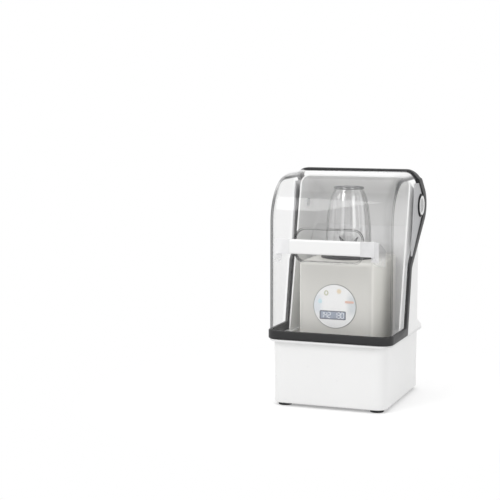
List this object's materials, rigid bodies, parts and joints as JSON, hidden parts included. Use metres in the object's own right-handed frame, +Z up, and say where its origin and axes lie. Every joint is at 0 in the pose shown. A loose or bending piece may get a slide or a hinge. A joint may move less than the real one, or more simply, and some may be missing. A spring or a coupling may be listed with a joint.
{
  "type": "bottle sterilizer",
  "caption": "Countertop bottle sterilizer: open tray with fixed rear hood, clear hinged cover with front bar handle, and a motor unit with an inverted clear vessel and winged rotor.",
  "frame": {"origin": "under the middle of the machine's bounding box, on the counter, cover closed", "axes": "+Z up, -Y is the front with the handle and the display, +X to the right as seen from the front"},
  "size_m": [0.26, 0.296, 0.457],
  "materials": {
    "white_plastic": "gloss-satin moulded white",
    "liner_white": "satin moulded white",
    "black_rubber": "matt black rubber",
    "trim_black": "satin near-black edge trim",
    "ear_grey": "satin mid grey plate with a black hub",
    "clear_plastic": "clear polycarbonate",
    "vessel_clear": "clear moulded vessel",
    "drive_grey": "warm light grey satin",
    "dial_white": "white glassy panel",
    "lcd": "blue-grey liquid crystal window",
    "key_glass": "printed touch keys",
    "board_green": "circuit board",
    "steel": "brushed stainless steel",
    "motor_iron": "painted motor case",
    "copper_core": "wound laminated core",
    "bearing_steel": "polished bearing",
    "heater_alloy": "cast heater ring",
    "coupling_black": "tough black nylon",
    "brass": "brass contacts"
  },
  "bodies": {
    "base": {"base_tray": "white_plastic", "tray_liner": "liner_white", "rubber_feet": "black_rubber", "foot_screws": "steel", "hood_shell": "white_plastic", "hood_liner": "liner_white", "hood_screws": "steel", "hinge_pins": "steel", "drive_housing": "drive_grey", "drive_bottom_plate": "drive_grey", "drive_pads": "black_rubber", "display_dial": "dial_white", "display_window": "lcd", "touch_keys": "key_glass", "display_board": "board_green", "control_board": "board_green", "motor_mounts": "black_rubber", "motor_can": "motor_iron", "motor_end_bell": "motor_iron", "motor_bearings": "bearing_steel", "bottle_seat": "coupling_black", "heater_ring": "heater_alloy", "power_inlet": "coupling_black", "dock_socket": "coupling_black", "inlet_pins": "brass"},
    "cover": {"cover_shell": "clear_plastic", "cover_trim": "trim_black", "left_ear": "ear_grey", "right_ear": "ear_grey", "hinge_bushes": "coupling_black", "hub_caps": "white_plastic", "handle_bar": "white_plastic", "left_handle_bracket": "clear_plastic", "right_handle_bracket": "clear_plastic"},
    "motor_rotor": {"motor_shaft": "steel", "armature": "copper_core", "cooling_fan": "coupling_black", "drive_coupling": "coupling_black"},
    "bottle": {"bottle_collar": "coupling_black", "collar_gasket": "black_rubber", "bottle_glass": "vessel_clear"},
    "rotor": {"driven_coupling": "coupling_black", "rotor_spindle": "steel", "rotor_wings": "steel"}
  },
  "joints": [
    {"name": "cover_hinge", "type": "hinge", "parent": "base", "child": "cover", "pos_m": [0, 0.09, 0.3835], "axis": [-1, 0, 0], "range_deg": [0, 106]},
    {"name": "bottle_twist", "type": "hinge", "parent": "base", "child": "bottle", "pos_m": [0, 0.01, 0.2844], "axis": [0, 0, 1], "range_deg": [0, 30]},
    {"name": "motor_spin", "type": "hinge", "parent": "base", "child": "motor_rotor", "pos_m": [0, 0.01, 0.2], "axis": [0, 0, 1], "continuous": true},
    {"name": "rotor_spin", "type": "hinge", "parent": "base", "child": "rotor", "pos_m": [0, 0.01, 0.29], "axis": [0, 0, 1], "continuous": true}
  ],
  "couplings": [
    {"joint": "rotor_spin", "follows": "motor_spin", "ratio": 1}
  ]
}
